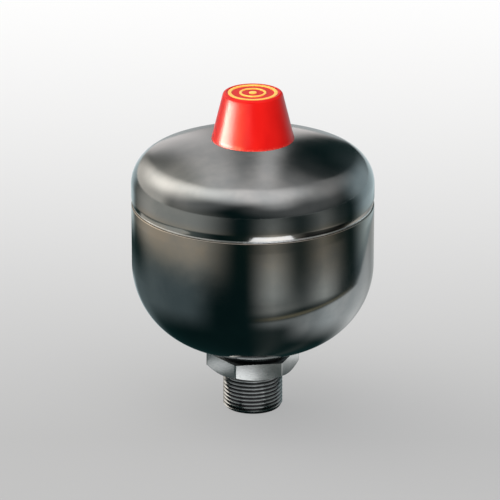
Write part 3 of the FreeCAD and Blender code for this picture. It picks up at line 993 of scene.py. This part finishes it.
pale_beyond = (
    sector(17, 10, 14) * (0.38 + band(255 * MM, 325 * MM, 15 * MM) * 0.65)
    + sector(64, 8, 14) * (0.36 + band(225 * MM, 275 * MM, 18 * MM) * 0.6)
    + sector(48, 44, 12) * 0.05
    + sector(45, 38, 12) * card_finish.ramp(from_round_card, 30 * MM, 60 * MM)
    * card_finish.ramp(from_round_card, 90 * MM, 170 * MM, 0.24, 0.0)
) * past_round_card
pale_side = sector(140, 27, 16) * (1 - on_round_card)
pale_side = pale_side * card_finish.ramp(from_round_card, 0, 40 * MM, 0.42, 0.85)
pale_back = sector(180, 18, 10) * band(380 * MM, FAR, 60 * MM) * 0.4
left_far = sector(-80, 46, 22) * band(300 * MM, FAR, 22 * MM) * 0.92
left_near = (
    sector(-78, 34, 16) * band(110 * MM, 300 * MM, 40 * MM) * 0.26
    + sector(-156, 14, 8) * (band(60 * MM, 200 * MM, 22 * MM) * 0.5 + band(290 * MM, FAR, 30 * MM) * 0.7)
    + sector(-132, 20, 12) * band(90 * MM, 240 * MM, 30 * MM) * 0.18
)
glow = card_finish.lights(
    (pale_round, (1.0, 0.99, 0.98)),
    (round_edge, (1.0, 0.78, 0.46)),
    (pale_beyond, (1.0, 0.95, 0.88)),
    (pale_side + left_near, (0.86, 1.0, 1.04)),
    (pale_back, (1.0, 1.0, 1.0)),
    (left_far, (1.0, 0.93, 0.85)),
    (0.033, (0.3, 1.0, 1.0)),
)
glow_shader = card_finish.node("ShaderNodeEmission", None, {"Color": glow, "Strength": 1.0})
card_finish.node("ShaderNodeOutputMaterial", None, {"Surface": glow_shader})
cards = disc("cards", cards_radius, cards_height, card_finish)
for ray in ("camera", "diffuse", "transmission", "volume_scatter", "shadow"):
    setattr(cards, f"visible_{ray}", False)

# World: a dim room with soft round panels and arched strips of light. The camera's view shows none of it
world = bpy.data.worlds.new("studio")
bpy.context.scene.world = world
room = Finish(world)
room.tree.nodes.clear()
direction = room.node("ShaderNodeTexCoord", output="Generated")


def panel(azimuth, elevation, bright_to, fades_by, brightness, around=0.0):
    """A soft round panel: its brightness in the middle, going over to the level around it, in degrees."""
    off = room.math("ARCCOSINE", room.dot(direction, toward(azimuth, elevation))) * math.degrees(1)
    return room.ramp(off, bright_to, fades_by, brightness, around)


def arch(across, bright_to, fades_by, brightness):
    """A soft strip that arches up behind the object, so far across to the right on a ball of radius 1."""
    side = room.dot(direction, toward(90))
    away = room.dot(direction, toward(180))
    up = room.dot(direction, (0, 0, 1))
    strip = room.ramp(room.math("ABSOLUTE", side - across), bright_to, fades_by, brightness, 0.0)
    return strip * room.ramp(away, 0.1, 0.3) * room.ramp(up, 0.80, 0.96, 1.0, 0.0)


dark_flag = panel(163, 24, 7, 15, 0.08, 1.0) * panel(160, 40, 5, 12, 0.2, 1.0)
overhead = (
    panel(-17, 82, 15, 46, 1.5)
    + panel(28, 43, 2, 25, 0.75)
    + panel(-70, 44, 19, 46, 0.37)
    + panel(49, 36, 25, 61, 0.25)
    + panel(106, 70, 22, 52, 0.54)
    + arch(-0.165, 0.02, 0.134, 1.05)
    + arch(0.068, 0.01, 0.075, 0.95)
    + arch(-0.018, 0.005, 0.183, 0.42)
) * dark_flag
left_side = (
    panel(-130, 37, 2, 35, 1.75)
    + panel(-99, 51, 2, 40, 2.0)
    + panel(-125, 3, 25, 44, 1.12)
    + panel(-69, -10, 9, 53, 0.4)
)
right_side = panel(131, 8, 7, 38, 0.8)
light = room.lights(
    (overhead, (1.09, 1.0, 0.97)),
    (left_side, (1.12, 1.02, 0.92)),
    (right_side, (0.88, 1.0, 1.04)),
    (0.03, (0.3, 1.0, 1.0)),
)
background = room.node("ShaderNodeBackground", None, {"Color": light, "Strength": 1.0})
room.node("ShaderNodeOutputWorld", None, {"Surface": background})


def piece_lamp(name, width, length, glow, spot, target, *pieces, shape="RECTANGLE"):
    """An area lamp that lights only some pieces, given by how bright it looks, and isn't in the picture."""
    data = bpy.data.lights.new(name, "AREA")
    data.shape = shape
    data.size = width
    data.size_y = length
    data.energy = glow * math.pi * width * length * (1 if shape == "RECTANGLE" else math.pi / 4)
    lamp = bpy.data.objects.new(name, data)
    bpy.context.collection.objects.link(lamp)
    aim(lamp, spot, target)
    lamp.visible_camera = False
    lit = bpy.data.collections.new("lit_by_" + name)
    for piece in pieces:
        lit.objects.link(piece)
    lamp.light_linking.receiver_collection = lit
    return lamp


lamp_height = 1 * MM


def floor_card(name, spot, size, glow, *pieces):
    """A small round card that glows on the floor, for some pieces only."""
    low = Vector((spot.x, spot.y, lamp_height))
    return piece_lamp(name, size, size, glow, low, low + Vector((0, 0, 1)), *pieces, shape="DISK")


def flat_card(name, azimuth, reach, width, depth, glow, *pieces):
    """A card that glows on the floor, square to the line from the object's axis, for some pieces only."""
    spot = toward(azimuth) * reach + Vector((0, 0, lamp_height))
    lamp = piece_lamp(name, width, depth, glow, spot, spot + Vector((0, 0, 1)), *pieces)
    lamp.rotation_euler = (math.pi, 0, camera_azimuth + math.radians(azimuth))
    return lamp


def beside_face(turn, shift, reach):
    """The spot on the floor that one side of the hexagon shows, shifted along that side."""
    middle = toward(turn) * hex_flat_radius + toward(turn + 90) * shift
    return middle + toward(2 * turn) * reach


# The cap has a wide strip to its left and a warm one beside it, for the gloss alone, and a soft lamp for its
# colour alone. The strips' middles lie below the cap, so that its top doesn't mirror them to the far side
cap_middle = Vector((0, 0, (cap_base + cap_top) / 2))
strip_distance = 1.2
strip_spot = cap_middle + toward(-80, -9) * strip_distance
tail_spot = cap_middle + toward(-42, -9) * strip_distance
fill_spot = cap_middle + toward(-16, 14) * 0.8
cap_strip = piece_lamp("cap_strip", 0.85, 0.36, 330, strip_spot, cap_middle, cap)
cap_strip.visible_diffuse = False
cap_strip.data.color = (1.0, 0.94, 0.78)
cap_tail = piece_lamp("cap_tail", 0.55, 0.36, 120, tail_spot, cap_middle, cap)
cap_tail.visible_diffuse = False
cap_tail.data.color = (1.0, 0.65, 0.3)
cap_fill = piece_lamp("cap_fill", 0.3, 0.3, 32, fill_spot, cap_middle, cap, marking)
cap_fill.visible_glossy = False

# Small cards close by light the hexagon's three seen sides, the thread and the upper shell's lip, and a lamp
# lights the weld bead
front_turn = -math.degrees(camera_azimuth)
floor_card("hex_front", beside_face(front_turn, -12 * MM, 55 * MM), 24 * MM, 2.2, port)
floor_card("hex_left", beside_face(front_turn - 60, -2 * MM, 60 * MM), 17 * MM, 1.3, port)
floor_card("hex_right", beside_face(front_turn + 60, 3 * MM, 70 * MM), 16 * MM, 0.7, port)
floor_card("thread_front", toward(2) * 42 * MM, 50 * MM, 0.7, port)
floor_card("thread_left", toward(-58) * 44 * MM, 44 * MM, 0.5, port)
floor_card("thread_right", toward(58) * 44 * MM, 44 * MM, 0.4, port)
lip_middle = toward(0) * outer_radius + Vector((0, 0, weld_top))
piece_lamp("bead_lamp", 0.25, 0.35, 1.8, lip_middle + toward(13, 30) * 0.6, lip_middle, bead)
lip_card = flat_card("lip_card", 17, 0.195, 0.125, 0.060, 3.6, upper_skin, bead)
lip_card.data.color = (0.92, 0.97, 1.08)
flat_card("lip_left_card", -95, 0.203, 0.27, 0.075, 0.75, upper_skin)

# The crown shows the room as if nothing stood on it
valve_nodes = ("gas_boss", "gas_boss_weld", "charging_screw", "charging_screw_seal")
for piece in [cap, marking] + [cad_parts[node] for node in valve_nodes]:
    piece.visible_glossy = False

bpy.context.scene.view_settings.view_transform = "Standard"
